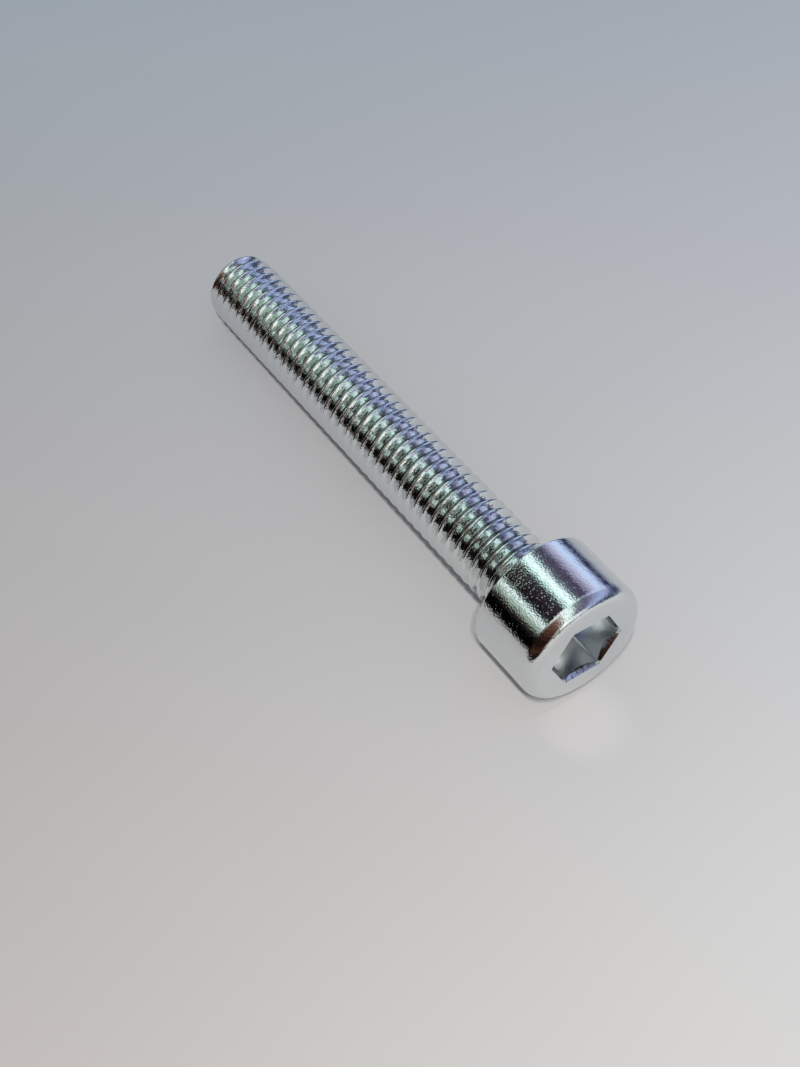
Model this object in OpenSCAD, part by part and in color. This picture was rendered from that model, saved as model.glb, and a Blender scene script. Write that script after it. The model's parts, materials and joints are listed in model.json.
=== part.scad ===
// Hex socket cap screw, fully threaded, lying on a flat surface.
// The screw is turned about its own axis with the bearing face at 0 and the socket face
// towards +, then laid down so that the head's lower rim and the last full crest touch z = 0.

/* [Shank] */
// Nominal diameter of the thread, over its crests
thread_d = 6; // [4.8:0.1:7.2]
// Thread pitch, which sets the root diameter and the length of the point
thread_pitch = 1; // [0.7:0.05:1.25]
// Length from the bearing face to the flat end
shank_len = 40; // [20:1:60]
// Radius of the fillet between the shank and the bearing face
fillet_r = 0.25; // [0.1:0.05:0.4]

/* [Point] */
// Depth of the flat end's rim below the thread root, on the radius
point_relief = 0; // [0:0.05:0.3]
// Length of the tapered point, in pitches of the thread
point_pitches = 1.7; // [0.5:0.1:2]

/* [Head] */
// Diameter of the head
head_d = 10; // [8.4:0.1:12]
// Height of the head
head_h = 6; // [5:0.1:7.2]
// Rounding of the head's edge at the socket face
crown_r = 1; // [0.3:0.05:1.1]
// Rounding of the head's edge at the bearing face
seat_edge_r = 0.1; // [0.05:0.05:0.3]

/* [Socket] */
// Width of the hexagon across its flats
socket_af = 5; // [4.1:0.1:6]
// Depth of the flats below the socket face
socket_depth = 3.4; // [2.8:0.1:4.1]
// Included angle of the cone at the bottom of the socket
socket_cone_angle = 120; // [90:5:150]
// Width of the lead-in round the mouth, measured out from the flats
lead_in_w = 0.15; // [0.05:0.05:0.3]
// Depth of the lead-in below the socket face
lead_in_depth = 0.4; // [0.1:0.05:0.6]

/* [Rest] */
// Turn of the lying screw about its own axis, from a corner of the socket underneath
rest_turn = 25.5; // [0:0.5:59.5]

/* [Hidden] */
$fn = 180;

// How far a solid runs into the next one that it joins
JOIN = 0.01;
// How far a cut runs out past the surface that it opens
OVERCUT = 1;
// Depth of a 60 degree metric thread, as a share of its pitch
THREAD_DEPTH_SHARE = 0.61343;
// Distance from a hexagon's centre to a corner, over the distance to a flat
HEX_CORNER_SHARE = 1 / cos(30);

head_r = head_d / 2;
thread_r = thread_d / 2;
root_r = thread_r - THREAD_DEPTH_SHARE * thread_pitch;
point_r = root_r - point_relief;
point_len = point_pitches * thread_pitch;
thread_len = shank_len - point_len;
socket_corner_r = socket_af / 2 * HEX_CORNER_SHARE;

// The surface is the common tangent of the seat edge's rounding and the last full crest.
reach_r = head_r - seat_edge_r - thread_r;
reach_len = thread_len + seat_edge_r;
reach = norm([reach_r, reach_len]);
rest_tilt = acos(-seat_edge_r / reach) - atan2(reach_len, reach_r);
axis_height = thread_r * cos(rest_tilt) + thread_len * sin(rest_tilt);

// Ends of the lying screw along X, measured from the bearing face's centre
head_end_x = (head_h - crown_r) * cos(rest_tilt) + (head_r - crown_r) * sin(rest_tilt) + crown_r;
point_end_x = -shank_len * cos(rest_tilt) - point_r * sin(rest_tilt);
centre_x = (head_end_x + point_end_x) / 2;

// Half section of the turned blank: x is the radius, y runs along the axis.
module blank_section() {
    difference() {
        union() {
            // head, square at its edges
            square([head_r, head_h]);
            // shank over the full thread
            translate([0, -thread_len]) square([thread_r, thread_len + JOIN]);
            // tapered point, where the thread runs out
            polygon([
                [0, -shank_len],
                [point_r, -shank_len],
                [thread_r, -thread_len],
                [0, -thread_len]
            ]);
            // material that the fillet is cut from
            translate([0, -fillet_r]) square([thread_r + fillet_r, fillet_r + JOIN]);
        }
        // fillet under the head
        translate([thread_r + fillet_r, -fillet_r]) circle(r = fillet_r);
        edge_cut(head_r, head_h, crown_r, 1);
        edge_cut(head_r, 0, seat_edge_r, -1);
    }
}

// What is cut away to round an outside corner at radius r and height y; side is 1 above, -1 below.
module edge_cut(r, y, round_r, side) {
    translate([r - round_r, y - side * round_r])
        scale([1, side])
            difference() {
                square(round_r + OVERCUT);
                circle(r = round_r);
            }
}

module blank() {
    rotate_extrude() blank_section();
}

// Hexagonal recess with a conical bottom.
module socket_cut() {
    cone_h = socket_corner_r / tan(socket_cone_angle / 2);
    translate([0, 0, head_h - socket_depth]) {
        cylinder(r = socket_corner_r, h = socket_depth + OVERCUT, $fn = 6);
        translate([0, 0, -cone_h])
            intersection() {
                cylinder(r1 = 0, r2 = socket_corner_r, h = cone_h);
                cylinder(r = socket_corner_r, h = cone_h + JOIN, $fn = 6);
            }
    }
}

// Lead-in at the socket's mouth: six slabs, each leaning out from its flat.
module lead_in_cut() {
    lean = atan2(lead_in_w, lead_in_depth);
    // a slab this wide reaches past the head on every side
    slab = 2 * head_d;
    translate([0, 0, head_h])
        intersection() {
            intersection_for(i = [0:5])
                rotate([0, 0, 30 + 60 * i])
                    translate([socket_af / 2 + lead_in_w, 0, 0])
                        rotate([0, lean, 0])
                            translate([-slab, -slab / 2, -slab / 2])
                                cube(slab);
            translate([0, 0, -lead_in_depth]) cylinder(r = head_r, h = lead_in_depth + OVERCUT);
        }
}

module screw() {
    color("silver")
        translate([-centre_x, 0, axis_height])
            rotate([0, 90 - rest_tilt, 0])
                rotate([0, 0, rest_turn])
                    difference() {
                        blank();
                        socket_cut();
                        lead_in_cut();
                    }
}

screw();
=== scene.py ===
import json
import math

import bmesh
import bpy
from bpy.props import FloatProperty, FloatVectorProperty, IntProperty, PointerProperty
from mathutils import Euler, Matrix, Vector, noise


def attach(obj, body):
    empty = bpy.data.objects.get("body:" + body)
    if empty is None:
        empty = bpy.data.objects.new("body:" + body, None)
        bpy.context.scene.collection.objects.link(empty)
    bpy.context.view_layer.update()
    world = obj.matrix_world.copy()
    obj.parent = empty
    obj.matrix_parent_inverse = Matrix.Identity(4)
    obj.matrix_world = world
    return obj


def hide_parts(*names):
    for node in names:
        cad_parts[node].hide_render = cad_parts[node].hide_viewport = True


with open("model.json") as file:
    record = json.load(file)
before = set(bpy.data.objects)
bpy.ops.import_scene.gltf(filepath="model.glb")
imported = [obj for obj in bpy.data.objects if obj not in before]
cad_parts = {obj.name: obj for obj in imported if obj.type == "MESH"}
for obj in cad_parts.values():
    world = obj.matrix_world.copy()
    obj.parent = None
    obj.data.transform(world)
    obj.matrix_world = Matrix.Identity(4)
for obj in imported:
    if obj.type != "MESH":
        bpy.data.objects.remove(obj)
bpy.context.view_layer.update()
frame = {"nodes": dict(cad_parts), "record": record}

bl_info = {
    "name": "Hex Socket Cap Screw",
    "version": (1, 0, 0),
    "blender": (4, 5, 0),
    "location": "View3D > Sidebar > Cap Screw",
    "description": "Builds a lying, fully threaded hex socket cap screw and its small studio",
    "category": "Mesh",
}

MM = 0.001

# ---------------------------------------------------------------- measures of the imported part

MOUNTS = {m["name"]: m for m in frame["record"]["mounts"]}
CAD_SCREW = frame["nodes"]["screw"]

# The screw's axis points from the flat end to the socket face, and 0 on it is the bearing face.
AXIS = -Vector(MOUNTS["thread"]["axis"])
SOCKET_FACE = Vector(MOUNTS["hex_socket"]["pos_m"])
HEAD_H = (SOCKET_FACE - Vector(MOUNTS["seat"]["pos_m"])).dot(AXIS)
BEARING = SOCKET_FACE - HEAD_H * AXIS
# Screw space: +Z along the axis, +Y level, +X down into the table.
SCREW_TO_FRAME = Matrix.Translation(BEARING) @ Matrix(
    (Vector((0, 1, 0)).cross(AXIS), Vector((0, 1, 0)), AXIS)
).transposed().to_4x4()

CAD_POINTS = [SCREW_TO_FRAME.inverted() @ v.co for v in CAD_SCREW.data.vertices]


def radius(point):
    """Distance of a point in screw space from the axis."""
    return math.hypot(point.x, point.y)


HEAD_R = max(radius(p) for p in CAD_POINTS)
SHANK_L = -min(p.z for p in CAD_POINTS)
THREAD_R = MOUNTS["thread"]["dims"]["r_mm"] * MM
# The plain shank ends where the fillet under the head begins.
THREAD_MID = (Vector(MOUNTS["thread"]["pos_m"]) - BEARING).length
FILLET_R = THREAD_MID - MOUNTS["thread"]["dims"]["length_mm"] * MM / 2
# The mouth's corners are the farthest points of the socket face inside the rounded edge.
FACE_TOLERANCE = 0.001 * MM
INSIDE_CROWN = 0.7
MOUTH_CORNER = max(
    (p for p in CAD_POINTS
     if abs(p.z - HEAD_H) < FACE_TOLERANCE and radius(p) < INSIDE_CROWN * HEAD_R),
    key=radius)
SOCKET_TURN = math.atan2(MOUTH_CORNER.y, MOUTH_CORNER.x)


# ---------------------------------------------------------------- sizes and colours to change

def linear(hex_colour):
    """An sRGB hex colour as the linear colour that shaders take."""
    parts = [int(hex_colour.lstrip("#")[i:i + 2], 16) / 255 for i in (0, 2, 4)]
    return (*(c / 12.92 if c <= 0.04045 else ((c + 0.055) / 1.055) ** 2.4 for c in parts), 1.0)


class ThreadSizes(bpy.types.PropertyGroup):
    pitch: FloatProperty(
        name="Pitch", description="Distance from one crest to the next",
        default=1.0 * MM, min=0.5 * MM, max=1.5 * MM, precision=5, unit="LENGTH")
    segments: IntProperty(
        name="Segments", description="Mesh steps in one turn", default=96, min=24, max=128)
    crest_at: FloatProperty(
        name="First Crest",
        description="Distance of a crest from the bearing face, on the upper line",
        default=1.67 * MM, min=0.0, max=3 * MM, precision=5, unit="LENGTH")
    crest_r: FloatProperty(
        name="Crest Rounding", description="Rounding of the crest",
        default=0.11 * MM, min=0.02 * MM, max=0.15 * MM, precision=6, unit="LENGTH")
    run_out: FloatProperty(
        name="Run-out", description="Length over which the thread fades out under the head",
        default=0.8 * MM, min=0.2 * MM, max=3 * MM, precision=5, unit="LENGTH")
    neck_r: FloatProperty(
        name="Neck Radius", description="Radius of the plain neck under the head",
        default=2.85 * MM, min=2.4 * MM, max=3 * MM, precision=5, unit="LENGTH")


class HeadSizes(bpy.types.PropertyGroup):
    crown_r: FloatProperty(
        name="Crown Rounding", description="Rounding of the edge at the socket face",
        default=1.0 * MM, min=0.3 * MM, max=1.2 * MM, precision=5, unit="LENGTH")
    seat_edge_r: FloatProperty(
        name="Seat Rounding", description="Rounding of the edge at the bearing face",
        default=0.1 * MM, min=0.02 * MM, max=0.3 * MM, precision=5, unit="LENGTH")
    segments: IntProperty(
        name="Segments", description="Mesh steps round the head", default=144, min=72, max=288)


class SocketSizes(bpy.types.PropertyGroup):
    across_flats: FloatProperty(
        name="Across Flats", description="Width of the hexagon between opposite flats",
        default=5.0 * MM, min=3 * MM, max=6 * MM, precision=5, unit="LENGTH")
    depth: FloatProperty(
        name="Depth", description="Depth of the corners below the socket face",
        default=3.4 * MM, min=2 * MM, max=4.5 * MM, precision=5, unit="LENGTH")
    cone_angle: FloatProperty(
        name="Cone Angle", description="Included angle of the cone at the bottom",
        default=math.radians(120), min=math.radians(60), max=math.radians(170), unit="ROTATION")
    lead_in: FloatProperty(
        name="Lead-in Width", description="Width of the lead-in, measured out from the flats",
        default=0.15 * MM, min=0.0, max=0.4 * MM, precision=5, unit="LENGTH")
    corner_cut: FloatProperty(
        name="Corner Cut", description="Length that the rounding takes off each side at a corner",
        default=0.12 * MM, min=0.02 * MM, max=0.4 * MM, precision=5, unit="LENGTH")


class Finish(bpy.types.PropertyGroup):
    zinc: FloatVectorProperty(
        name="Zinc", description="Colour of the bright plating",
        default=linear("#e6e8e6"), size=4, min=0.0, max=1.0, subtype="COLOR")
    zinc_cool: FloatVectorProperty(
        name="Cool Zinc", description="Bluish tone where the clear passivation is thicker",
        default=linear("#dde2e6"), size=4, min=0.0, max=1.0, subtype="COLOR")


class Studio(bpy.types.PropertyGroup):
    # The three table colours paint the fall-off of the light along the screw: lighter in front of
    # the head, where more light falls, and darker beyond the flat end.
    table_near_painted_light: FloatVectorProperty(
        name="Table, Near", description="Colour of the table in front of the head",
        default=linear("#edebe9"), size=4, min=0.0, max=1.0, subtype="COLOR")
    table_middle: FloatVectorProperty(
        name="Table, Middle", description="Colour of the table under the screw",
        default=linear("#c6c5c7"), size=4, min=0.0, max=1.0, subtype="COLOR")
    table_far_painted_shade: FloatVectorProperty(
        name="Table, Far", description="Colour of the table beyond the flat end",
        default=linear("#a4aeb7"), size=4, min=0.0, max=1.0, subtype="COLOR")
    key: FloatProperty(
        name="Key", description="Strength of the overhead key lamp, in watts a square metre",
        default=2.04, min=0.0, max=10.0)
    glow: FloatProperty(
        name="Glow",
        description="Power of the light that the socket face throws on the table, in watts",
        default=0.036, min=0.0, max=1.0)
    fill: FloatProperty(
        name="Fill", description="Level of the soft light from all round",
        default=0.42, min=0.0, max=1.0)


# ---------------------------------------------------------------- small helpers

def smooth_step(low, high, x):
    """0 up to low, 1 from high on, and an even slope in between."""
    t = min(1.0, max(0.0, (x - low) / (high - low)))
    return t * t * (3 - 2 * t)


def in_radians(degrees):
    """Angles given in degrees, in radians."""
    return [math.radians(d) for d in degrees]


def add_node(tree, kind, settings=None, inputs=None, stops=()):
    """Adds a node; inputs are values, or sockets of other nodes to link from.

    stops are the positions of a colour ramp with their linear colours.
    """
    node = tree.nodes.new("ShaderNode" + kind)
    for name, value in (settings or {}).items():
        setattr(node, name, value)
    for key, value in (inputs or {}).items():
        if isinstance(value, bpy.types.NodeSocket):
            tree.links.new(value, node.inputs[key])
        else:
            node.inputs[key].default_value = value
    for n, (position, colour) in enumerate(stops):
        elements = node.color_ramp.elements
        if n == 0:
            elements.remove(elements[-1])
        element = elements[0] if n == 0 else elements.new(position)
        element.position, element.color = position, colour
    return node


def new_material(name):
    """A material with an empty node tree."""
    material = bpy.data.materials.new(name)
    material.use_nodes = True
    material.node_tree.nodes.clear()
    return material


def new_object(name, bm, *materials):
    """The mesh as an object in the scene, with its materials in the order of their indices."""
    mesh = bpy.data.meshes.new(name)
    bm.to_mesh(mesh)
    bm.free()
    piece = bpy.data.objects.new(name, mesh)
    bpy.context.scene.collection.objects.link(piece)
    for material in materials:
        mesh.materials.append(material)
    return piece


def line(bm, points):
    """Vertices joined by edges, as the section that a spin starts from."""
    verts = [bm.verts.new(p) for p in points]
    edges = [bm.edges.new(pair) for pair in zip(verts, verts[1:])]
    return verts + edges


# How far a vertex may be from where it is looked for
NEAR = 0.002 * MM


def edges_at(bm, height, r_low=0.0, r_high=1.0):
    """Open edges that lie at one height on the axis, between two radii."""
    return [
        e for e in bm.edges
        if len(e.link_faces) < 2
        and all(abs(v.co.z - height) < NEAR and r_low - NEAR < radius(v.co) < r_high + NEAR
                for v in e.verts)
    ]


def extrude_ring(bm, edges, move, material):
    """Extrudes a ring of edges and moves each new vertex; move takes and gives a position."""
    made = bmesh.ops.extrude_edge_only(bm, edges=edges)["geom"]
    for v in made:
        if isinstance(v, bmesh.types.BMVert):
            v.co = move(v.co)
    for f in made:
        if isinstance(f, bmesh.types.BMFace):
            f.material_index = material
    return [e for e in made if isinstance(e, bmesh.types.BMEdge) and len(e.link_faces) == 1]


def extrude_to(bm, edges, r, z, material):
    """Extrudes a ring of edges to a circle at radius r and height z."""
    return extrude_ring(bm, edges, lambda co: Vector((
        co.x * r / radius(co), co.y * r / radius(co), z)), material)


# ---------------------------------------------------------------- shank

# Indices of the screw's four finishes
PLATED, ROLLED, PUNCHED, PRESSED = range(4)
# A 60 degree metric thread: slope of its flanks, and its depth in pitches
FLANK_SLOPE = math.tan(math.radians(60))
THREAD_DEPTH = 0.61343


def thread_section(sizes):
    """One pitch of the thread from root to root, as points of the section (radius, 0, height)."""
    depth = THREAD_DEPTH * sizes.pitch
    # the rounding that meets both flanks at the given depth
    root_round = FLANK_SLOPE * sizes.pitch / 2 - sizes.crest_r - depth
    half = [
        (sizes.crest_r * math.sin(a), sizes.crest_r * (1 - math.cos(a)))
        for a in in_radians((0, 15, 30, 45, 60))
    ]
    root = [
        (sizes.pitch / 2 - root_round * math.sin(a), depth - root_round * (1 - math.cos(a)))
        for a in in_radians((60, 40, 20, 0))
    ]
    half += [tuple((p + q) / 2 for p, q in zip(half[-1], root[0])), *root]
    whole = [(-u, d) for u, d in reversed(half[1:])] + half
    return [(THREAD_R - d, 0, u) for u, d in whole]


# Rounding of the flat end's rim
END_ROUND = 0.05 * MM
# Angle about the axis, in screw space, of the line that faces up and a little to the front
UPPER_LINE = math.radians(180 + 23.5)
# How far the crests stand out over the point, in millimetres: distance from the flat end, radius
POINT = ((0.0, 2.58), (0.2, 2.78), (0.5, 2.89), (1.0, 2.94), (1.8, 3.0))


def point_radius(height):
    """Radius of the crests at a height near the flat end."""
    reach = (height + SHANK_L) / MM
    for (near, r_near), (far, r_far) in zip(POINT, POINT[1:]):
        if reach < far:
            return (r_near + (r_far - r_near) * max(0.0, reach - near) / (far - near)) * MM
    return THREAD_R


# Rolling leaves the crests a little uneven. Depth of the wear, and the share of the thread's depth
# from which it sets in
CREST_WEAR = 0.012 * MM
WORN_FROM = 0.5
# Its two sizes along the crest, and how strong the short one is beside the long one
WEAR_LONG = 0.9 * MM
WEAR_SHORT = 0.25 * MM
SHORT_SHARE = 0.6
# Vertices that are closer than this become one: between turns of the thread, and in the screw
TURN_SEAM = 0.001 * MM
SCREW_SEAM = 0.0005 * MM


def build_thread(bm, sizes):
    """The rolled thread, a right-hand helix, faded out at both ends and cut off square."""
    root_r = THREAD_R - THREAD_DEPTH * sizes.pitch
    turns = math.ceil(SHANK_L / sizes.pitch)
    section = line(bm, thread_section(sizes))
    # a crest crosses the upper line at crest_at
    start = -(sizes.crest_at + (turns - 1) * sizes.pitch) - UPPER_LINE / math.tau * sizes.pitch
    bmesh.ops.translate(bm, verts=bm.verts, vec=(0, 0, start))
    bmesh.ops.spin(
        bm, geom=section, cent=(0, 0, 0), axis=(0, 0, 1), angle=math.tau, steps=sizes.segments,
        dvec=(0, 0, sizes.pitch / sizes.segments))
    turn = bm.verts[:] + bm.edges[:] + bm.faces[:]
    # enough turns to reach past both cuts
    for n in range(1, turns + 2):
        copy = bmesh.ops.duplicate(bm, geom=turn)["geom"]
        bmesh.ops.translate(
            bm, verts=[v for v in copy if isinstance(v, bmesh.types.BMVert)],
            vec=(0, 0, n * sizes.pitch))
    bmesh.ops.remove_doubles(bm, verts=bm.verts, dist=TURN_SEAM)

    neck_z = sizes.neck_r - THREAD_R - FILLET_R
    for height, side in ((neck_z, 1), (END_ROUND - SHANK_L, -1)):
        bmesh.ops.bisect_plane(
            bm, geom=bm.verts[:] + bm.edges[:] + bm.faces[:], dist=SCREW_SEAM,
            plane_co=(0, 0, height), plane_no=(0, 0, side), clear_outer=True)

    # The crests are cut down over the point and by the wear, and fade into the neck.
    for v in bm.verts:
        r, z = radius(v.co), v.co.z
        share = (point_radius(z) - root_r) / (THREAD_R - root_r)
        crest = smooth_step(WORN_FROM, 1.0, (r - root_r) / (THREAD_R - root_r))
        wear = noise.noise(v.co / WEAR_LONG) + SHORT_SHARE * noise.noise(v.co / WEAR_SHORT)
        wanted = root_r + (r - root_r) * share + (wear - 1) * crest * CREST_WEAR * share
        wanted += (sizes.neck_r - wanted) * smooth_step(neck_z - sizes.run_out, neck_z, z)
        v.co.xy *= wanted / r
    for f in bm.faces:
        f.material_index = ROLLED
    return neck_z, root_r


# The dish in the flat end: radius, in shares of the thread's root, and depth
END_DISH = ((0.9, 0.0), (0.74, 0.05 * MM), (0.4, 0.09 * MM), (0.12, 0.1 * MM))


def close_end(bm, root_r):
    """Rounds the flat end's rim and dishes the end a little, as cropping and rolling leave it."""
    ring = edges_at(bm, END_ROUND - SHANK_L)
    angles = in_radians((0, 30, 60, 90))
    for a, b in zip(angles, angles[1:]):
        fall = (math.cos(a) - math.cos(b)) * END_ROUND
        drop = (math.sin(b) - math.sin(a)) * END_ROUND
        ring = extrude_ring(bm, ring, lambda co, fall=fall, drop=drop: Vector((
            co.x * (1 - fall / radius(co)), co.y * (1 - fall / radius(co)), co.z - drop)), ROLLED)
    for share, depth in END_DISH:
        ring = extrude_to(bm, ring, root_r * share, depth - SHANK_L, PRESSED)
    bmesh.ops.contextual_create(bm, geom=ring, mat_nr=PRESSED)


def build_neck(bm, sizes, neck_z):
    """The plain neck's fillet, from the faded thread up to the bearing face."""
    ring = edges_at(bm, neck_z)
    arc = -neck_z
    for a in in_radians((15, 30, 45, 60, 75, 90)):
        ring = extrude_to(
            bm, ring, sizes.neck_r + arc * (1 - math.cos(a)), neck_z + arc * math.sin(a), ROLLED)
    return ring


# ---------------------------------------------------------------- head

# Rings this close to a rounding keep the head's straight side evenly shaded.
SIDE_RING = 0.05 * MM


def build_head(bm, sizes):
    """The turned outside of the head, from the bearing face's rim to the socket face's rim."""
    seat, crown = sizes.seat_edge_r, sizes.crown_r
    section = [
        (HEAD_R - seat * (1 - math.sin(a)), 0, seat * (1 - math.cos(a)))
        for a in in_radians((0, 30, 60, 90))
    ]
    section += [
        (HEAD_R, 0, z)
        for z in (seat + SIDE_RING, HEAD_H / 2, HEAD_H - crown - SIDE_RING, HEAD_H - crown)
    ]
    section += [
        (HEAD_R - crown * (1 - math.cos(a)), 0, HEAD_H - crown * (1 - math.sin(a)))
        for a in in_radians(range(9, 91, 9))
    ]
    before = set(bm.verts)
    geom = line(bm, section)
    bmesh.ops.spin(
        bm, geom=geom, cent=(0, 0, 0), axis=(0, 0, 1), angle=math.tau, steps=sizes.segments,
        use_merge=True)
    turned = [v for v in bm.verts if v not in before]
    for f in {f for v in turned for f in v.link_faces}:
        f.material_index = PLATED
    return edges_at(bm, 0, HEAD_R - seat, HEAD_R - seat), edges_at(bm, HEAD_H)


# ---------------------------------------------------------------- socket

CORNER_STEPS = 4
# Half the angle between two corners, and between two flats
HALF_SIDE = math.radians(30)


def hexagon(bm, sizes, across, height, segments):
    """A ring of edges: a hexagon with rounded corners and as many edges as the head's segments."""
    corner_r = across / 2 / math.cos(HALF_SIDE)
    turn = Matrix.Rotation(SOCKET_TURN + math.pi / 2, 4, "Z")
    made = bmesh.ops.create_circle(
        bm, cap_ends=True, radius=corner_r, segments=6,
        matrix=Matrix.Translation((0, 0, height)) @ turn)
    cut = bmesh.ops.bevel(
        bm, geom=made["verts"], offset=sizes.corner_cut, offset_type="OFFSET", affect="VERTICES",
        segments=CORNER_STEPS, profile=0.5, material=-1)
    face = cut["verts"][0].link_faces[0]
    flats = [e for e in face.edges if e.calc_length() > corner_r / 2]
    bmesh.ops.delete(bm, geom=[face], context="FACES_ONLY")
    bmesh.ops.subdivide_edges(bm, edges=flats, cuts=segments // 6 - CORNER_STEPS - 1)
    return edges_at(bm, height, across / 2, corner_r)


def side_share(point):
    """How far a point is along its flat of the hexagon: 0 at the middle, 1 at a corner."""
    turn = (math.atan2(point.y, point.x) - SOCKET_TURN) % (2 * HALF_SIDE) - HALF_SIDE
    return min(1.0, abs(math.tan(turn)) / math.tan(HALF_SIDE))


# Width of the mouth's rolled edge, outside the lead-in
MOUTH_ROLL = 0.015 * MM
# The lead-in as the punch leaves it: width outside the flats, in lead-in widths, and depth at the
# middle of a flat and at a corner
LEAD_IN_STEPS = (
    (1.0, 0.012 * MM, 0.012 * MM),
    (0.92, 0.03 * MM, 0.02 * MM),
    (0.5, 0.24 * MM, 0.05 * MM),
    (0.06, 0.46 * MM, 0.09 * MM),
    (0.0, 0.50 * MM, 0.11 * MM),
    (0.0, 0.56 * MM, 0.15 * MM),
)
# The cone at the bottom in rings, as shares of the hexagon
CONE_RINGS = (1.0, 0.7, 0.35, 0.08)
# Dull lines down the walls: how far below the socket face they begin
LINES_FROM = 0.6 * MM
# Half width of the line in each corner, in degrees about the axis
CORNER_LINE = 2.2
# Place and half width of the mark that the punch left on each flat, in degrees from a corner
PUNCH_MARK = 15.7
PUNCH_MARK_HALF = 1.3


def is_dull_line(point, sizes):
    """Whether a point of the walls is in a corner, or in the mark that the punch left on a flat."""
    if not HEAD_H - sizes.depth < point.z < HEAD_H - LINES_FROM:
        return False
    turn = math.degrees(math.atan2(point.y, point.x) - SOCKET_TURN) % 60
    return min(turn, 60 - turn) < CORNER_LINE or abs(turn - PUNCH_MARK) < PUNCH_MARK_HALF


def build_socket(bm, sizes, head_rim, segments):
    """The socket face, the mouth with its lead-in, the walls and the conical bottom."""
    across = sizes.across_flats + 2 * (sizes.lead_in + MOUTH_ROLL)
    ring = hexagon(bm, sizes, across, HEAD_H, segments)
    for f in bmesh.ops.bridge_loops(bm, edges=head_rim + ring)["faces"]:
        f.material_index = PRESSED
    for width, mid, corner in LEAD_IN_STEPS:
        scale = (sizes.across_flats + 2 * sizes.lead_in * width) / across
        across *= scale

        def move(co, scale=scale, mid=mid, corner=corner):
            depth = mid + (corner - mid) * side_share(co) ** 2
            return Vector((co.x * scale, co.y * scale, HEAD_H - depth))
        ring = extrude_ring(bm, ring, move, PUNCHED)
    corner_r = sizes.across_flats / 2 / math.cos(HALF_SIDE)
    steep = math.tan(sizes.cone_angle / 2)
    for share in CONE_RINGS:
        ring = extrude_ring(bm, ring, lambda co, share=share: Vector((
            co.x * share, co.y * share,
            HEAD_H - sizes.depth - (corner_r - radius(co) * share) / steep)), PRESSED)
    bmesh.ops.contextual_create(bm, geom=ring, mat_nr=PRESSED)
    for f in bm.faces:
        if f.material_index == PUNCHED and is_dull_line(f.calc_center_median(), sizes):
            f.material_index = PRESSED


# ---------------------------------------------------------------- finishes

# Sizes of the metal's patterns. The clouds and the slow waviness have their real size. The crystals
# of the plating and the marks of rolling and punching are only some hundredths of a millimetre
# wide, and are drawn as coarse as they need to be to show.
CLOUD = 2.5 * MM
WAVE = 0.9 * MM
GRAIN = 0.13 * MM
MARK = 0.12 * MM
# Stretch of the marks along the axis and across it, for marks that run round it and along it
ROUND_AXIS = (1, 0.25, 0.25)
ALONG_AXIS = (0.01, 1, 1)
# Noise mostly lies between these values.
NOISE_LOW, NOISE_HIGH = 0.3, 0.7
# How much the roughness varies from cloud to cloud
MATT_SPREAD = 0.25
# Tone of the metal in the punch's marks, and the noise at which it sets in and is full
MARK_TONE, MARK_FROM, MARK_FULL = "#a5b2ad", 0.50, 0.60
# Painted shade at the bottom of the grooves: the darker tone of the metal there, and the height
# over which it fades out
GROOVE_SHADE_TONE, GROOVE_SHADE_FADE = "#70766f", 0.06 * MM


def blend(tree, place, low, high, a, b):
    """Colour a where place is below low and b where it is above high."""
    share = add_node(tree, "MapRange", {"interpolation_type": "SMOOTHSTEP"}, {
        "Value": place, "From Min": low, "From Max": high})
    mix = add_node(tree, "Mix", {"data_type": "RGBA"}, {
        "Factor": share.outputs["Result"], "A": a, "B": b})
    return mix.outputs["Result"]


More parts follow.
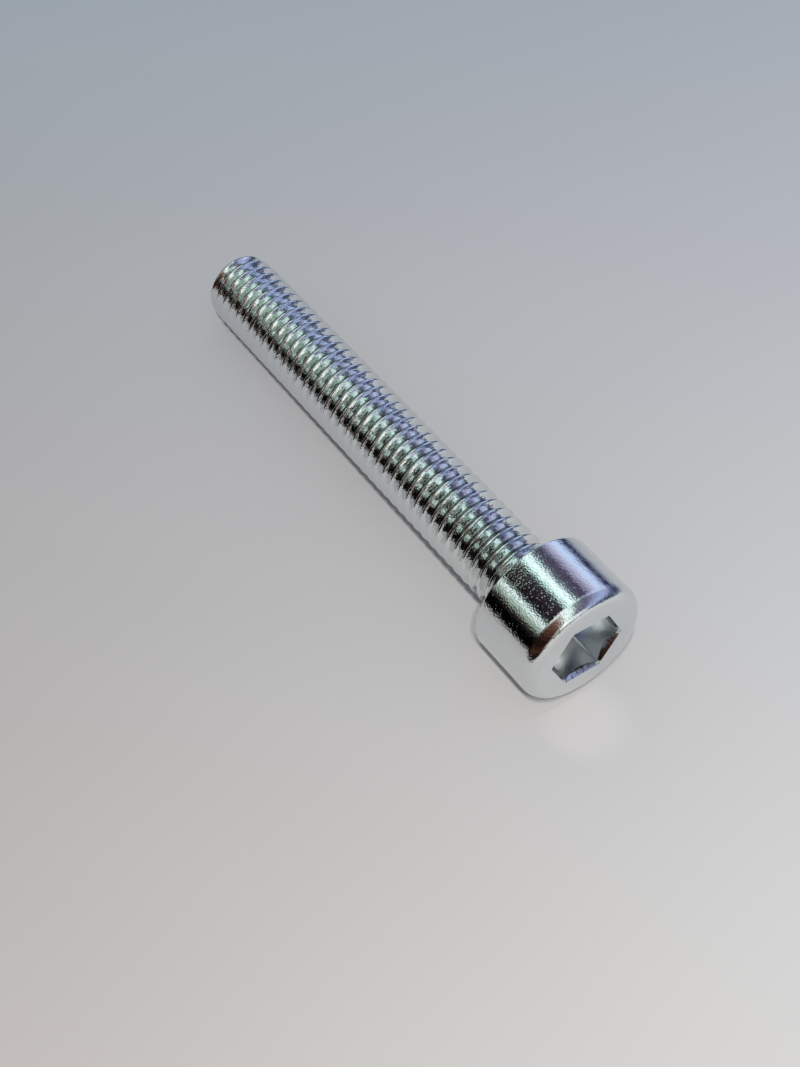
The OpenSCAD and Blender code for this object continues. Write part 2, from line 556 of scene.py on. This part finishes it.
def plated_steel(
        name, finish, matt, grain, peel, pits=None, flow=0.0, lines=0.0, shaded_to=0.0):
    """Bright zinc plating on steel: a near mirror with the cool cast of its clear passivation.

    matt is the roughness, and the rest are heights in metres: of the crystalline grain, of the slow
    waviness, of scattered pits (with their spacing and size), of marks that run round the axis, and
    of marks that run along it, which also dull the metal. Inside the radius given last, the metal
    is painted darker at the bottom of the grooves, as painted shade.
    """
    material = new_material(name)
    tree = material.node_tree
    coord = add_node(tree, "TexCoord")
    # +X runs along the screw's axis
    turn = Euler((0, math.asin(AXIS.z), 0))
    along = add_node(tree, "Mapping", inputs={
        "Vector": coord.outputs["Object"], "Rotation": turn,
        "Location": -(turn.to_matrix() @ BEARING)})
    place = along.outputs["Vector"]
    cloud = add_node(tree, "TexNoise", inputs={
        "Vector": place, "Scale": 1 / CLOUD, "Detail": 2.0})
    colour = add_node(tree, "Mix", {"data_type": "RGBA"}, {
        "Factor": cloud.outputs["Fac"], "A": finish.zinc, "B": finish.zinc_cool})
    tone = colour.outputs["Result"]
    rough = add_node(tree, "MapRange", inputs={
        "Value": cloud.outputs["Fac"], "From Min": NOISE_LOW, "From Max": NOISE_HIGH,
        "To Min": (1 - MATT_SPREAD) * matt, "To Max": (1 + MATT_SPREAD) * matt})

    # from the coarsest relief to the finest
    slow = add_node(tree, "TexNoise", inputs={
        "Vector": place, "Scale": 1 / WAVE, "Detail": 1.0})
    fine = add_node(tree, "TexNoise", inputs={
        "Vector": place, "Scale": 1 / GRAIN, "Detail": 1.0})
    reliefs = [(slow.outputs["Fac"], peel), (fine.outputs["Fac"], grain)]
    if pits:
        depth, spacing, size = pits
        cell = add_node(tree, "TexVoronoi", inputs={
            "Vector": place, "Scale": 1 / spacing, "Randomness": 1.0})
        pit = add_node(tree, "MapRange", {"interpolation_type": "SMOOTHSTEP"}, {
            "Value": cell.outputs["Distance"], "From Min": 0.0, "From Max": size / spacing})
        reliefs.append((pit.outputs["Result"], depth))
    for stretch, depth in ((ROUND_AXIS, flow), (ALONG_AXIS, lines)):
        if depth:
            drawn = add_node(tree, "Mapping", inputs={"Vector": place, "Scale": stretch})
            mark = add_node(tree, "TexNoise", inputs={
                "Vector": drawn.outputs["Vector"], "Scale": 1 / MARK, "Detail": 2.0})
            reliefs.append((mark.outputs["Fac"], depth))
            if stretch == ALONG_AXIS:
                tone = blend(
                    tree, mark.outputs["Fac"], MARK_FROM, MARK_FULL, tone, linear(MARK_TONE))
    # painted shade: the metal is painted darker at the bottom of the thread's grooves
    if shaded_to:
        across = add_node(tree, "VectorMath", {"operation": "MULTIPLY"}, {
            0: place, 1: (0, 1, 1)})
        reach = add_node(tree, "VectorMath", {"operation": "LENGTH"}, {0: across.outputs[0]})
        tone = blend(
            tree, reach.outputs["Value"], shaded_to - GROOVE_SHADE_FADE, shaded_to, linear(GROOVE_SHADE_TONE), tone)
    normal = None
    for height, distance in reliefs:
        inputs = {"Height": height, "Distance": distance, "Strength": 1.0}
        if normal:
            inputs["Normal"] = normal
        normal = add_node(tree, "Bump", inputs=inputs).outputs["Normal"]

    shader = add_node(tree, "BsdfPrincipled", inputs={
        "Metallic": 1.0, "Base Color": tone,
        "Roughness": rough.outputs["Result"], "Normal": normal})
    add_node(tree, "OutputMaterial", inputs={"Surface": shader.outputs["BSDF"]})
    return material


# How far up from the bottom of the thread the painted shade in the grooves reaches
GROOVE_SHADE_DEPTH = 0.08 * MM


def screw_finishes(finish, root_r):
    """The screw's finishes, in the order of their indices."""
    return (
        # turned head: a near mirror, with crystals and small pits that sparkle at edges of light
        plated_steel(
            "bright_zinc_on_turned_steel", finish, matt=0.07, grain=0.011 * MM, peel=0.012 * MM,
            pits=(0.006 * MM, 0.23 * MM, 0.055 * MM)),
        # rolled thread: marks round the screw break up its highlights, over grooves darkened with
        # painted shade
        plated_steel(
            "bright_zinc_on_rolled_thread", finish, matt=0.07, grain=0.008 * MM, peel=0.008 * MM,
            flow=0.024 * MM, shaded_to=root_r + GROOVE_SHADE_DEPTH),
        # punched walls: softer, with fine dull lines the way that the punch went
        plated_steel(
            "bright_zinc_on_punched_socket", finish, matt=0.12, grain=0.004 * MM, peel=0.004 * MM,
            lines=0.006 * MM),
        # pressed faces: satin, nearly even, with a few small nicks far apart
        plated_steel(
            "bright_zinc_on_pressed_face", finish, matt=0.18, grain=0.003 * MM, peel=0.006 * MM,
            pits=(0.04 * MM, 1.3 * MM, 0.1 * MM)),
    )


# The card's painted light changes slowly between these places, in metres, along the screw and
# across it.
CARD_X = (-0.14, 0.115)
CARD_Y = (-0.105, 0.13)
# Tooth of the card's surface, drawn coarse enough to show, and its height
TOOTH = 0.5 * MM
TOOTH_HEIGHT = 0.01 * MM


def paper(studio):
    """Smooth matt card: no gloss, and painted light: a tone that falls off slowly from the window
    side.
    """
    material = new_material("matt_card")
    tree = material.node_tree
    coord = add_node(tree, "TexCoord")
    split = add_node(tree, "SeparateXYZ", inputs={0: coord.outputs["Object"]})

    def fall_off(axis, ends, stops):
        """Colour by the place along an axis, easing out towards both ends."""
        low, high = ends
        share = add_node(tree, "MapRange", inputs={
            "Value": split.outputs[axis], "From Min": low, "From Max": high})
        ramp = add_node(tree, "ValToRGB", inputs={"Fac": share.outputs["Result"]}, stops=[
            ((place - low) / (high - low), colour) for place, colour in stops])
        ramp.color_ramp.interpolation = "B_SPLINE"
        return ramp.outputs["Color"]

    # painted light: the card is lighter towards the head, where more light falls and the socket
    # face throws light back, and darker beyond the flat end
    tone = fall_off("X", CARD_X, (
        (-0.080, studio.table_far_painted_shade), (-0.0395, linear("#b0b3b8")), (0.001, studio.table_middle),
        (0.028, linear("#d6d4d3")), (0.055, studio.table_near_painted_light)))
    # painted light: the card is warmer on the near side and cooler on the far side, where the
    # light's colour changes
    painted_light_tint = fall_off("Y", CARD_Y, (
        (-0.045, linear("#f2eae3")), (0.001, linear("#fbfaf8")), (0.070, linear("#eff4fa"))))
    colour = add_node(tree, "Mix", {"data_type": "RGBA", "blend_type": "MULTIPLY"}, {
        "Factor": 1.0, "A": tone, "B": painted_light_tint})
    tooth = add_node(tree, "TexNoise", inputs={
        "Vector": coord.outputs["Object"], "Scale": 1 / TOOTH, "Detail": 3.0})
    bump = add_node(tree, "Bump", inputs={
        "Height": tooth.outputs["Fac"], "Distance": TOOTH_HEIGHT, "Strength": 1.0})
    shader = add_node(tree, "BsdfPrincipled", inputs={
        "Base Color": colour.outputs["Result"], "Roughness": 0.9, "Specular IOR Level": 0.0,
        "Normal": bump.outputs["Normal"]})
    add_node(tree, "OutputMaterial", inputs={"Surface": shader.outputs["BSDF"]})
    return material


# ---------------------------------------------------------------- studio

# What the screw mirrors, round it from the level far side over the top to the level near side, as
# degrees and sRGB hex: strip lights and the dark gaps between them. The sets stand in a row along
# the screw, and the last is the bright window that the head faces.
OVER_END = (
    (0, "#969ab0"), (5.8, "#51566e"), (8.8, "#131527"), (12.7, "#20203a"), (16.6, "#41486a"),
    (20.5, "#94a2c4"), (25.4, "#bbcbee"), (33.2, "#c2d2ed"), (39, "#b9bcdc"), (44.8, "#a7a6bd"),
    (50.6, "#87839d"), (56.4, "#443c4f"), (68, "#4b485b"), (73.7, "#595a6b"), (77.6, "#90a3a6"),
    (80.5, "#dffffa"), (83.3, "#f4ffff"), (90, "#e6ffff"), (92.9, "#d2f6f0"), (96.8, "#6b7778"),
    (100.6, "#28272e"), (110.2, "#2b232d"), (123.6, "#191016"), (129.3, "#151315"),
    (133.2, "#4a5352"), (136.1, "#bdcfcb"), (139.9, "#f2fffe"), (144.7, "#97a89f"),
    (148.6, "#95ac9a"), (151.4, "#97a497"), (155.3, "#373433"), (164, "#020101"),
)
NEAR_HEAD = (
    (0, "#8b909c"), (6, "#6f7586"), (11, "#4c5268"), (19, "#4f556c"), (24.7, "#a9b2d4"),
    (31.6, "#bcc6e6"), (51.3, "#b4bcde"), (59.1, "#9a9cc0"), (65, "#77789a"), (70.9, "#8a9a9e"),
    (76.8, "#bcd6d2"), (92.6, "#d4e8e2"), (110.2, "#dfe9e3"), (121, "#ccd4cc"), (129, "#a3a69f"),
    (138, "#6b6a62"), (146, "#43403a"), (153, "#22201c"), (160, "#12110f"), (180, "#0e0d0c"),
)
OVER_HEAD = (
    (0, "#7e8494"), (6, "#5c6278"), (10, "#363a50"), (17.4, "#3f445c"), (23.3, "#6c7290"),
    (29.1, "#93a0c4"), (38.8, "#99a6cc"), (46.6, "#8c96b9"), (54.3, "#8285a4"), (62.1, "#636176"),
    (69.8, "#5c5b6c"), (77.5, "#6c7079"), (85.2, "#7f898c"), (90, "#b9c8c3"), (93.8, "#dcece6"),
    (102.5, "#ecfffb"), (107.3, "#d2dad6"), (112.1, "#a8a49e"), (116.9, "#8c7a70"),
    (123.6, "#5e443e"), (131.3, "#5a3c35"), (139, "#462c25"), (146.7, "#3c251e"), (152, "#2a1a15"),
    (158, "#18100d"), (167, "#1c110d"), (173, "#3c251b"), (180, "#43291d"),
)
WINDOW_SIDE = (
    (0, "#67696f"), (15.5, "#7e8188"), (23.3, "#a1a6ac"), (31.1, "#bfc4cb"), (38.8, "#d0d6dc"),
    (54.3, "#e7edf0"), (73.6, "#dadee0"), (92.9, "#f1f5f3"), (104.4, "#fbfffe"), (117.8, "#f7fbf8"),
    (123.6, "#c9cac6"), (131.3, "#b0b0ac"), (139, "#9c9a95"), (146.7, "#898480"),
    (162.1, "#7b736e"), (180, "#7a716d"),
)
FAR_END = (
    (0, "#56607e"), (11.2, "#3a4668"), (17.2, "#50628f"), (23.1, "#7793cc"), (35, "#b4d2fe"),
    (46.9, "#6e81ab"), (54.8, "#586d8a"), (60.8, "#4d6172"), (65.7, "#618379"), (70.7, "#cdffe3"),
    (80.6, "#f5ffff"), (94.5, "#88a49e"), (106.4, "#aac2b1"), (118.3, "#9cab9c"),
    (130.1, "#98ae9f"), (145.9, "#5a6960"), (151.8, "#2a302c"), (156.8, "#171512"),
    (167.6, "#13110e"), (180, "#141210"),
)
# The half-round canopy that carries them, in metres: its radius, its ends along the screw, the
# height of its axis, which is about the screw's, and its mesh steps
CANOPY_R = 0.06
CANOPY_X = (-0.5, 0.5)
CANOPY_Z = 4.5 * MM
CANOPY_STEPS = 48
# Each set, and where along the screw it takes over from the one before
ROOM = (
    (FAR_END, 0, 0), (OVER_END, -0.0225, -0.0195), (NEAR_HEAD, -0.001, 0.002),
    (OVER_HEAD, 0.010, 0.017), (WINDOW_SIDE, 0.107, 0.160),
)
# A mirror finish returns about three quarters of the light, so the canopy is that much brighter.
CANOPY_LEVEL = 1.3
# Where the room gets dark behind the flat end and dimmer behind the window, and its level there
DARK_BEHIND, DARK_LEVEL = (-0.054, -0.044), 0.16
DIM_BEYOND, DIM_LEVEL = (0.26, 0.45), 0.35


def canopy_material():
    """Strip lights behind a diffuser: they glow evenly, and run along the screw."""
    material = new_material("strip_lights")
    tree = material.node_tree
    coord = add_node(tree, "TexCoord")
    split = add_node(tree, "SeparateXYZ", inputs={0: coord.outputs["Object"]})
    height = add_node(tree, "Math", {"operation": "SUBTRACT"}, {
        0: split.outputs["Z"], 1: CANOPY_Z})
    turn = add_node(tree, "Math", {"operation": "ARCTAN2"}, {
        0: height.outputs[0], 1: split.outputs["Y"]})
    share = add_node(tree, "Math", {"operation": "DIVIDE"}, {0: turn.outputs[0], 1: math.pi})
    colour = None
    for strips, low, high in ROOM:
        ramp = add_node(tree, "ValToRGB", inputs={"Fac": share.outputs[0]}, stops=[
            (degrees / 180, linear(tone)) for degrees, tone in strips]).outputs["Color"]
        colour = ramp if colour is None else blend(
            tree, split.outputs["X"], low, high, colour, ramp)
    far = add_node(tree, "MapRange", {"interpolation_type": "SMOOTHSTEP"}, {
        "Value": split.outputs["X"], "From Min": DARK_BEHIND[0], "From Max": DARK_BEHIND[1],
        "To Min": DARK_LEVEL * CANOPY_LEVEL, "To Max": CANOPY_LEVEL})
    near = add_node(tree, "MapRange", {"interpolation_type": "SMOOTHSTEP"}, {
        "Value": split.outputs["X"], "From Min": DIM_BEYOND[0], "From Max": DIM_BEYOND[1],
        "To Min": 1.0, "To Max": DIM_LEVEL})
    level = add_node(tree, "Math", {"operation": "MULTIPLY"}, {
        0: far.outputs["Result"], 1: near.outputs["Result"]})
    light = add_node(tree, "Emission", inputs={"Color": colour, "Strength": level.outputs[0]})
    add_node(tree, "OutputMaterial", inputs={"Surface": light.outputs["Emission"]})
    return material


FELT_TONE = "#1a1614"


def flag_material():
    """Black felt: fully matt, and dark enough to mirror as black."""
    material = new_material("black_felt")
    tree = material.node_tree
    shader = add_node(tree, "BsdfPrincipled", inputs={
        "Base Color": linear(FELT_TONE), "Roughness": 1.0, "Specular IOR Level": 0.0})
    add_node(tree, "OutputMaterial", inputs={"Surface": shader.outputs["BSDF"]})
    return material


def only_mirrored(card):
    """Lets a card show in the metal and nowhere else."""
    card.visible_camera = False
    card.visible_diffuse = False
    card.visible_shadow = False


# Half the side of the table, in metres
TABLE_HALF = 5.0
# Rim of the black felt that lies on the near side of the table, in metres, and its height
FLAG = (
    (-0.40, -0.052), (0.006, -0.046), (0.034, -0.024), (0.080, -0.022), (0.40, -0.30),
    (-0.40, -0.30),
)
FLAG_Z = 0.2 * MM
# Directions to the key lamp, whose three parts stand in a row along the screw, their apparent size
# and their colour
KEY_LAMPS = ((0.26, -0.31, 0.92), (0.35, -0.30, 0.90), (0.44, -0.29, 0.87))
KEY_SIZE = math.radians(2.5)
KEY_TINT = (1.0, 0.98, 0.95)
# The glow's lamp stands over the patch of table on which the socket face throws light back.
GLOW_FROM = (0.0251, -0.0012, 0.1)
GLOW_CONE = math.radians(4.5)
GLOW_TINT = (1.0, 0.93, 0.89)
# Colour of the soft light on the screw and the table, and of the room where it is seen or mirrored
FILL_TINT = (0.80, 0.89, 1.0, 1.0)
ROOM_TONE = "#c8c9cc"


def add_lamp(name, lamp):
    """A lamp in the scene that lights but isn't mirrored itself."""
    piece = bpy.data.objects.new(name, lamp)
    piece.visible_glossy = False
    bpy.context.scene.collection.objects.link(piece)
    return piece


def build_studio(studio):
    """Table, canopy, black felt, lamps and the soft light of the room."""
    bm = bmesh.new()
    bmesh.ops.create_grid(bm, x_segments=1, y_segments=1, size=TABLE_HALF)
    new_object("table", bm, paper(studio))

    bm = bmesh.new()
    low, high = CANOPY_X
    section = line(bm, [
        (low, 0, CANOPY_Z), (low, CANOPY_R, CANOPY_Z), (high, CANOPY_R, CANOPY_Z),
        (high, 0, CANOPY_Z)])
    bmesh.ops.spin(
        bm, geom=section, cent=(0, 0, CANOPY_Z), axis=(1, 0, 0), angle=math.pi,
        steps=CANOPY_STEPS)
    only_mirrored(new_object("canopy", bm, canopy_material()))

    bm = bmesh.new()
    bm.faces.new([bm.verts.new((x, y, FLAG_Z)) for x, y in FLAG])
    bmesh.ops.recalc_face_normals(bm, faces=bm.faces)
    only_mirrored(new_object("flag", bm, flag_material()))

    for n, direction in enumerate(KEY_LAMPS):
        key = bpy.data.lights.new(f"key_{n}", "SUN")
        key.energy, key.angle, key.color = studio.key / len(KEY_LAMPS), KEY_SIZE, KEY_TINT
        lamp = add_lamp(f"key_{n}", key)
        lamp.rotation_mode = "QUATERNION"
        lamp.rotation_quaternion = Vector(direction).to_track_quat("Z", "Y")

    glow = bpy.data.lights.new("face_glow", "SPOT")
    glow.energy, glow.color, glow.shadow_soft_size = studio.glow, GLOW_TINT, 0.0
    glow.spot_size, glow.spot_blend = GLOW_CONE, 1.0
    add_lamp("face_glow", glow).location = GLOW_FROM

    world = bpy.data.worlds.new("soft_room")
    bpy.context.scene.world = world
    world.use_nodes = True
    tree = world.node_tree
    tree.nodes.clear()
    path = add_node(tree, "LightPath")
    seen = add_node(tree, "Math", {"operation": "MAXIMUM"}, {
        0: path.outputs["Is Camera Ray"], 1: path.outputs["Is Glossy Ray"]})
    seen = add_node(tree, "Math", {"operation": "MAXIMUM"}, {
        0: seen.outputs[0], 1: path.outputs["Is Transmission Ray"]})
    fill = add_node(tree, "Background", inputs={"Color": FILL_TINT, "Strength": studio.fill})
    pale = add_node(tree, "Background", inputs={"Color": linear(ROOM_TONE), "Strength": 1.0})
    mix = add_node(tree, "MixShader", inputs={
        0: seen.outputs[0], 1: fill.outputs[0], 2: pale.outputs[0]})
    add_node(tree, "OutputWorld", inputs={"Surface": mix.outputs[0]})


# Camera: its place from the middle of the socket face, the line that it looks along, its focal
# length and film width in millimetres, and the depth that it sees, in metres
CAMERA_FROM_FACE = Vector((40.79, -43.72, 90.65)) * MM
CAMERA_LOOK = Vector((-0.4945, 0.3430, -0.7986))
CAMERA_LENS, CAMERA_FILM = 53.5, 36.0
CAMERA_DEPTH = (0.005, 50.0)


def build_camera():
    """The camera, which looks down past the socket face along the screw."""
    data = bpy.data.cameras.new("camera")
    data.lens, data.sensor_width, data.sensor_fit = CAMERA_LENS, CAMERA_FILM, "AUTO"
    data.clip_start, data.clip_end = CAMERA_DEPTH
    camera = bpy.data.objects.new("camera", data)
    camera.location = SOCKET_FACE + CAMERA_FROM_FACE
    camera.rotation_mode = "QUATERNION"
    camera.rotation_quaternion = CAMERA_LOOK.to_track_quat("-Z", "Y")
    bpy.context.scene.collection.objects.link(camera)
    bpy.context.scene.camera = camera


# ---------------------------------------------------------------- operators and panel

# Edges that are sharper than this stay sharp in the shading.
SHARP = math.radians(28)


class BuildScrew(bpy.types.Operator):
    """Build the screw as one closed mesh: rolled thread, neck, head and hexagon socket"""
    bl_idname = "capscrew.build_screw"
    bl_label = "Screw"

    def execute(self, context):
        scene = context.scene
        bm = bmesh.new()
        neck_z, root_r = build_thread(bm, scene.screw_thread)
        close_end(bm, root_r)
        neck = build_neck(bm, scene.screw_thread, neck_z)
        seat_rim, face_rim = build_head(bm, scene.screw_head)
        for f in bmesh.ops.bridge_loops(bm, edges=neck + seat_rim)["faces"]:
            f.material_index = PLATED
        build_socket(bm, scene.screw_socket, face_rim, scene.screw_head.segments)
        bmesh.ops.remove_doubles(bm, verts=bm.verts, dist=SCREW_SEAM)
        bmesh.ops.recalc_face_normals(bm, faces=bm.faces)
        open_edges = [e for e in bm.edges if len(e.link_faces) != 2]
        if open_edges:
            raise RuntimeError(f"the screw has {len(open_edges)} open edges")
        for f in bm.faces:
            f.smooth = True
        for e in bm.edges:
            if e.calc_face_angle(0) > SHARP:
                e.smooth = False
        bmesh.ops.transform(bm, matrix=SCREW_TO_FRAME, verts=bm.verts)
        piece = new_object("cap_screw", bm, *screw_finishes(scene.screw_finish, root_r))
        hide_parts("screw")
        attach(piece, "root")
        return {"FINISHED"}


class BuildStage(bpy.types.Operator):
    """Set out the table, the soft light and the camera"""
    bl_idname = "capscrew.build_stage"
    bl_label = "Stage"

    def execute(self, context):
        build_studio(context.scene.screw_studio)
        build_camera()
        context.scene.view_settings.view_transform = "Standard"
        return {"FINISHED"}


class ScrewPanel(bpy.types.Panel):
    """Lists the sizes, the colours and the operators"""
    bl_idname = "VIEW3D_PT_cap_screw"
    bl_label = "Cap Screw"
    bl_space_type = "VIEW_3D"
    bl_region_type = "UI"
    bl_category = "Cap Screw"

    def draw(self, context):
        for name, (label, group) in GROUPS.items():
            box = self.layout.box()
            box.label(text=label)
            settings = getattr(context.scene, name)
            for key in group.__annotations__:
                box.prop(settings, key)
        for operator in (BuildScrew, BuildStage):
            self.layout.operator(operator.bl_idname)


# Each property group by its name on the scene, with its label in the panel
GROUPS = {
    "screw_thread": ("Thread", ThreadSizes),
    "screw_head": ("Head", HeadSizes),
    "screw_socket": ("Socket", SocketSizes),
    "screw_finish": ("Finish", Finish),
    "screw_studio": ("Studio", Studio),
}
CLASSES = (*(group for _, group in GROUPS.values()), BuildScrew, BuildStage, ScrewPanel)


def register():
    """Adds the classes, and the property groups to the scene."""
    for cls in CLASSES:
        bpy.utils.register_class(cls)
    for name, (_, group) in GROUPS.items():
        setattr(bpy.types.Scene, name, PointerProperty(type=group))


def unregister():
    """Takes away what register added."""
    for name in GROUPS:
        delattr(bpy.types.Scene, name)
    for cls in reversed(CLASSES):
        bpy.utils.unregister_class(cls)


def main():
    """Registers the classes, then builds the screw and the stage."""
    register()
    bpy.ops.capscrew.build_screw()
    bpy.ops.capscrew.build_stage()


if __name__ == "__main__":
    main()
